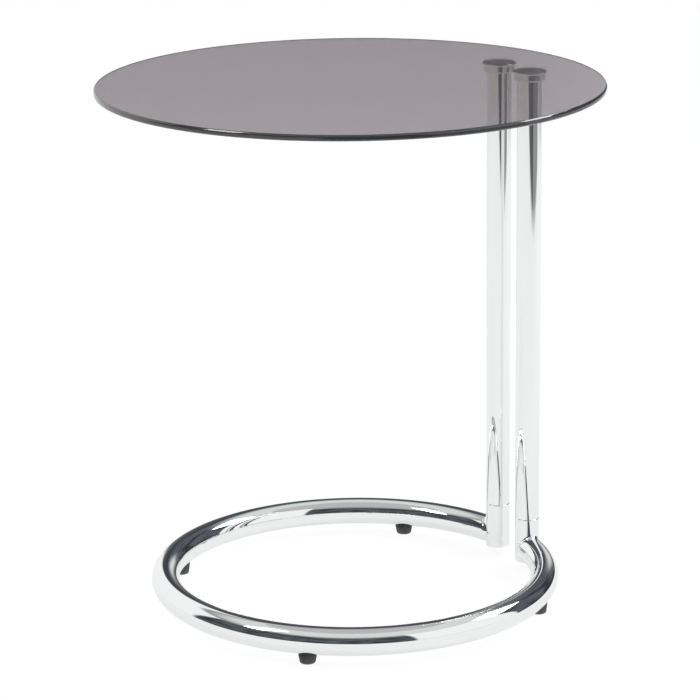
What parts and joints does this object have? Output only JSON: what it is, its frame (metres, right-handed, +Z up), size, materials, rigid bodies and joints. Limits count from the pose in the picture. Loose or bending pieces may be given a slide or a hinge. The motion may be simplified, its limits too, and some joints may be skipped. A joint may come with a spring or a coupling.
{
  "type": "side table",
  "caption": "Side table with a round smoked glass top on upright chromed posts at one side, rising from an open chromed tube ring on rubber feet.",
  "frame": {"origin": "on the floor under the middle of the round top", "axes": "+Z up; +X from the middle towards the side where the posts stand"},
  "size_m": [0.4999, 0.5, 0.53],
  "materials": {
    "smoked_glass": "smoked, polished",
    "chrome": "bright mirror plate",
    "turned_chrome": "plated over a turned face",
    "zinc_steel": "bright zinc plate",
    "black_rubber": "moulded, matte",
    "clear_adhesive": "clear, cured"
  },
  "bodies": {
    "root": {"glass_top": "smoked_glass", "base_ring": "chrome", "left_glue_film": "clear_adhesive", "left_top_disc": "turned_chrome", "left_top_stud": "zinc_steel", "left_post": "chrome", "left_post_head_plug": "zinc_steel", "left_post_foot_plug": "zinc_steel", "left_stub": "chrome", "left_stub_plate": "zinc_steel", "left_base_bolt": "zinc_steel", "left_spring_washer": "zinc_steel", "left_flat_washer": "zinc_steel", "right_glue_film": "clear_adhesive", "right_top_disc": "turned_chrome", "right_top_stud": "zinc_steel", "right_post": "chrome", "right_post_head_plug": "zinc_steel", "right_post_foot_plug": "zinc_steel", "right_stub": "chrome", "right_stub_plate": "zinc_steel", "right_base_bolt": "zinc_steel", "right_spring_washer": "zinc_steel", "right_flat_washer": "zinc_steel", "rear_left_foot": "black_rubber", "rear_left_foot_screw": "zinc_steel", "rear_left_foot_washer": "zinc_steel", "front_left_foot": "black_rubber", "front_left_foot_screw": "zinc_steel", "front_left_foot_washer": "zinc_steel", "front_right_foot": "black_rubber", "front_right_foot_screw": "zinc_steel", "front_right_foot_washer": "zinc_steel", "rear_right_foot": "black_rubber", "rear_right_foot_screw": "zinc_steel", "rear_right_foot_washer": "zinc_steel"}
  },
  "joints": []
}
